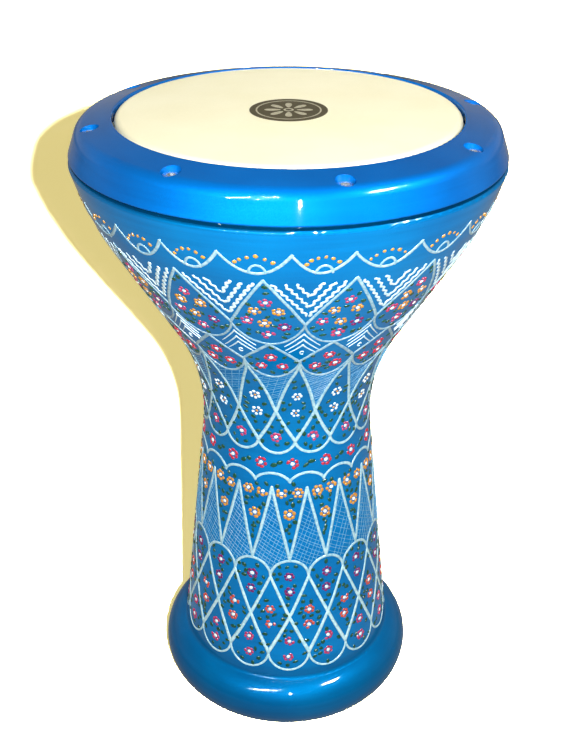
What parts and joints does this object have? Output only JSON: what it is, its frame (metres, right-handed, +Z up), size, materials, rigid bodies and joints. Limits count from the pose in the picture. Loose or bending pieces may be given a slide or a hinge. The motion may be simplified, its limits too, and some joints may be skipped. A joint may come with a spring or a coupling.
{
  "type": "goblet drum",
  "caption": "Goblet-shaped hand drum (darbuka) with a cast body, an external tuning ring on socket screws and a synthetic head.",
  "frame": {"origin": "centre of the foot rim, on the plane that the drum stands on", "axes": "+Z up along the drum's axis, from the foot to the head; -Y towards the front as pictured; +X to the right seen from the front"},
  "size_m": [0.2758, 0.2758, 0.4462],
  "materials": {
    "body_paint": "gloss",
    "ring_paint": "gloss",
    "screw_steel": "zinc plated steel",
    "insert_steel": "plain steel",
    "film": "coated polyester film",
    "hoop": "rolled aluminium",
    "resin": "cast resin",
    "label": "printed disc"
  },
  "bodies": {
    "drum": {"shell": "body_paint", "head_film": "film", "head_label": "label", "screw_insert_1": "insert_steel", "screw_insert_2": "insert_steel", "screw_insert_3": "insert_steel", "screw_insert_4": "insert_steel", "screw_insert_5": "insert_steel", "screw_insert_6": "insert_steel", "screw_insert_7": "insert_steel", "screw_insert_8": "insert_steel"},
    "ring": {"tuning_ring": "ring_paint", "head_hoop": "hoop", "head_resin": "resin", "screw_washer_1": "screw_steel", "screw_washer_2": "screw_steel", "screw_washer_3": "screw_steel", "screw_washer_4": "screw_steel", "screw_washer_5": "screw_steel", "screw_washer_6": "screw_steel", "screw_washer_7": "screw_steel", "screw_washer_8": "screw_steel"},
    "screw_1": {"tuning_screw_1": "screw_steel"},
    "screw_2": {"tuning_screw_2": "screw_steel"},
    "screw_3": {"tuning_screw_3": "screw_steel"},
    "screw_4": {"tuning_screw_4": "screw_steel"},
    "screw_5": {"tuning_screw_5": "screw_steel"},
    "screw_6": {"tuning_screw_6": "screw_steel"},
    "screw_7": {"tuning_screw_7": "screw_steel"},
    "screw_8": {"tuning_screw_8": "screw_steel"}
  },
  "joints": [
    {"name": "ring_slide", "type": "slide", "parent": "drum", "child": "ring", "axis": [0, 0, 1], "range_m": [-0.001, 0.003], "deforming": ["head_film"]},
    {"name": "screw_1_turn", "type": "hinge", "parent": "ring", "child": "screw_1", "pos_m": [0.02981, -0.11954, 0.4348], "axis": [0, 0, 1], "range_deg": [-360, 1080]},
    {"name": "screw_2_turn", "type": "hinge", "parent": "ring", "child": "screw_2", "pos_m": [0.1056, -0.06345, 0.4348], "axis": [0, 0, 1], "range_deg": [-360, 1080]},
    {"name": "screw_3_turn", "type": "hinge", "parent": "ring", "child": "screw_3", "pos_m": [0.11954, 0.02981, 0.4348], "axis": [0, 0, 1], "range_deg": [-360, 1080]},
    {"name": "screw_4_turn", "type": "hinge", "parent": "ring", "child": "screw_4", "pos_m": [0.06345, 0.1056, 0.4348], "axis": [0, 0, 1], "range_deg": [-360, 1080]},
    {"name": "screw_5_turn", "type": "hinge", "parent": "ring", "child": "screw_5", "pos_m": [-0.02981, 0.11954, 0.4348], "axis": [0, 0, 1], "range_deg": [-360, 1080]},
    {"name": "screw_6_turn", "type": "hinge", "parent": "ring", "child": "screw_6", "pos_m": [-0.1056, 0.06345, 0.4348], "axis": [0, 0, 1], "range_deg": [-360, 1080]},
    {"name": "screw_7_turn", "type": "hinge", "parent": "ring", "child": "screw_7", "pos_m": [-0.11954, -0.02981, 0.4348], "axis": [0, 0, 1], "range_deg": [-360, 1080]},
    {"name": "screw_8_turn", "type": "hinge", "parent": "ring", "child": "screw_8", "pos_m": [-0.06345, -0.1056, 0.4348], "axis": [0, 0, 1], "range_deg": [-360, 1080]}
  ],
  "couplings": [
    {"joint": "screw_1_turn", "follows": "ring_slide", "rad_per_m": 6283.2},
    {"joint": "screw_2_turn", "follows": "ring_slide", "rad_per_m": 6283.2},
    {"joint": "screw_3_turn", "follows": "ring_slide", "rad_per_m": 6283.2},
    {"joint": "screw_4_turn", "follows": "ring_slide", "rad_per_m": 6283.2},
    {"joint": "screw_5_turn", "follows": "ring_slide", "rad_per_m": 6283.2},
    {"joint": "screw_6_turn", "follows": "ring_slide", "rad_per_m": 6283.2},
    {"joint": "screw_7_turn", "follows": "ring_slide", "rad_per_m": 6283.2},
    {"joint": "screw_8_turn", "follows": "ring_slide", "rad_per_m": 6283.2}
  ]
}
